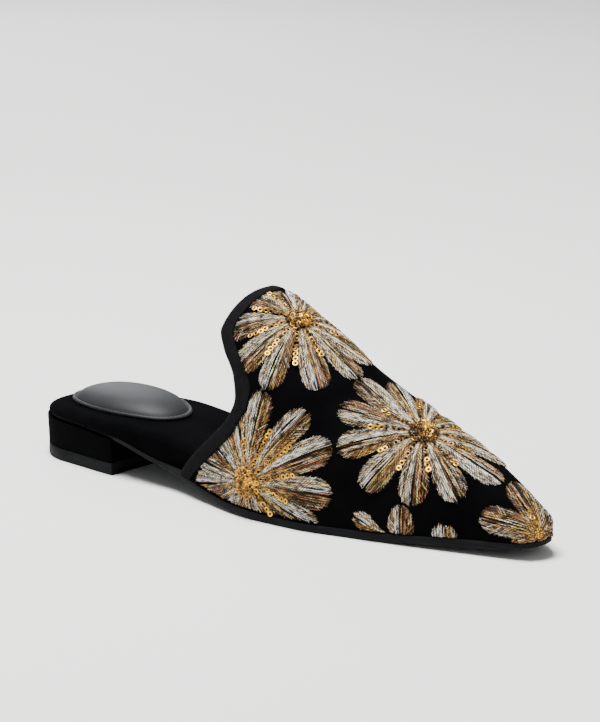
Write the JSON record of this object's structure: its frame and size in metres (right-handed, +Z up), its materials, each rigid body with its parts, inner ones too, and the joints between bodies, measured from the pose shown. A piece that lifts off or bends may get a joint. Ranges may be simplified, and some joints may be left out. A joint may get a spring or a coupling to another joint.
{
  "type": "mule shoe",
  "caption": "Right mule with a pointed toe, high rounded vamp, open heel, low wrapped block heel, padded heel pad and embroidered velvet upper with a bound topline.",
  "frame": {"origin": "bottom centre of the shoe's bounding box, on the floor", "axes": "+X from heel to toe, +Z up, the foot's outer side at -Y"},
  "size_m": [0.2652, 0.0736, 0.0852],
  "materials": {
    "sole_rubber": "moulded rubber with a dull, even face",
    "velvet": "near-black cotton velvet with a short nap",
    "pad_leather": "dark grey fine-grained leather with a soft gloss",
    "grosgrain": "charcoal ribbed ribbon",
    "embroidery": "satin-stitched thread in beige, brown, rust, cream and silver grey",
    "sequin": "small round gold sequins with a hole",
    "lining": "dark grey smooth lining leather"
  },
  "bodies": {
    "root": {"outsole": "sole_rubber", "heel_lift": "sole_rubber", "heel_block": "velvet", "footbed": "velvet", "heel_pad": "pad_leather", "upper": "velvet", "topline_binding": "grosgrain"}
  },
  "joints": []
}
